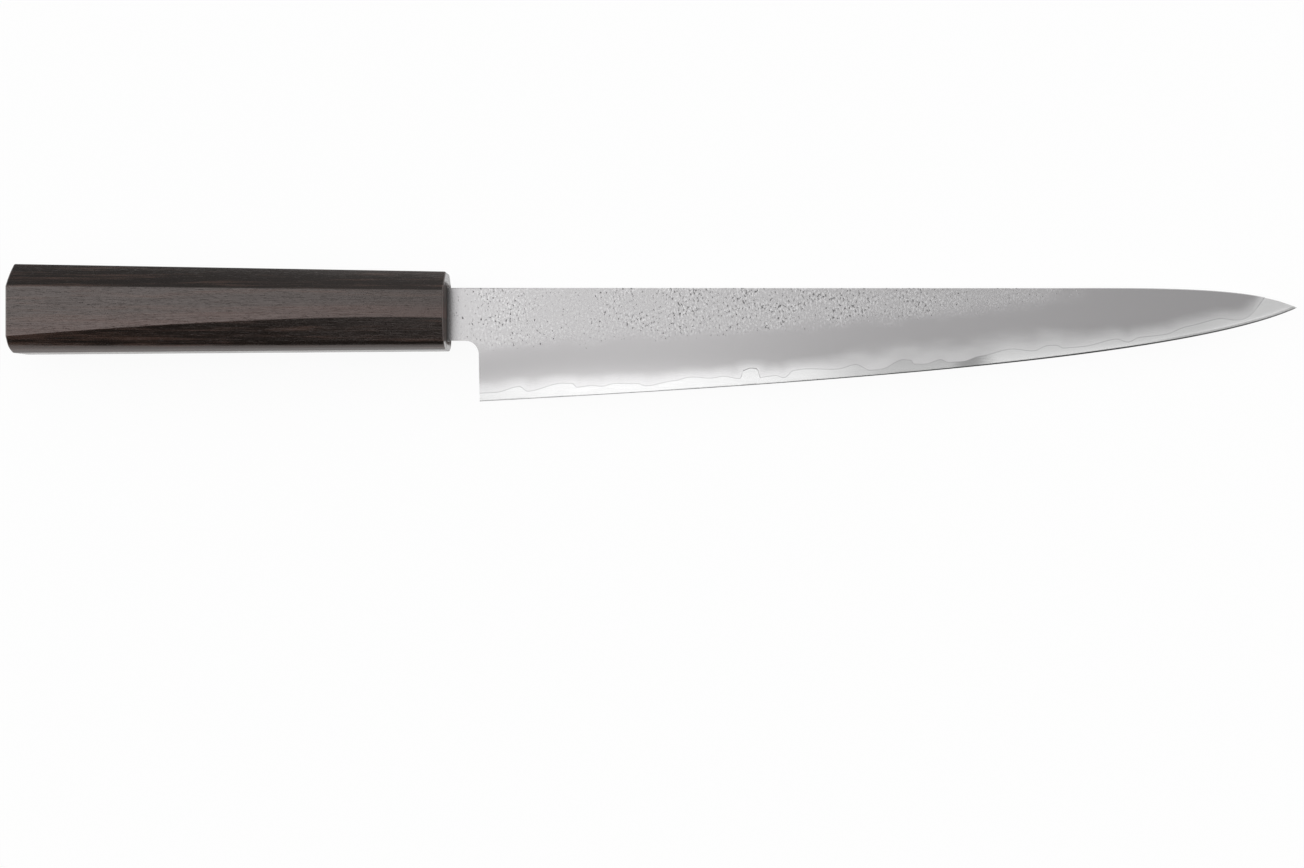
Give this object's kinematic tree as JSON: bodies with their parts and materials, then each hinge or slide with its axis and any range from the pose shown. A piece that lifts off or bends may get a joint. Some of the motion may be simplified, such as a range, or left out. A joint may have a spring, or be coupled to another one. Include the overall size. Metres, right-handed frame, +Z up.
{
  "type": "sujihiki knife",
  "caption": "Long slim Japanese slicing knife: laminated steel blade with a wavy cladding line and pear-skin flats, hidden tang, one-piece dark octagonal wooden handle.",
  "frame": {"origin": "middle of the handle's side facet that the knife lies on, halfway along the handle", "axes": "+X along the knife towards the tip, +Y towards the spine, +Z up, across the blade"},
  "size_m": [0.422, 0.0449, 0.0215],
  "materials": {
    "core_steel": "polished hard steel",
    "cladding_steel": "satin bevel, pear-skin forging texture on the flat",
    "handle_wood": "dark fine-grained wood, waxed satin",
    "tang_resin": "cured resin",
    "mouth_seal": "dark sealing resin"
  },
  "bodies": {
    "root": {"core_steel": "core_steel", "right_cladding": "cladding_steel", "left_cladding": "cladding_steel", "handle_body": "handle_wood", "tang_bed": "tang_resin", "mouth_seal": "mouth_seal"}
  },
  "joints": []
}
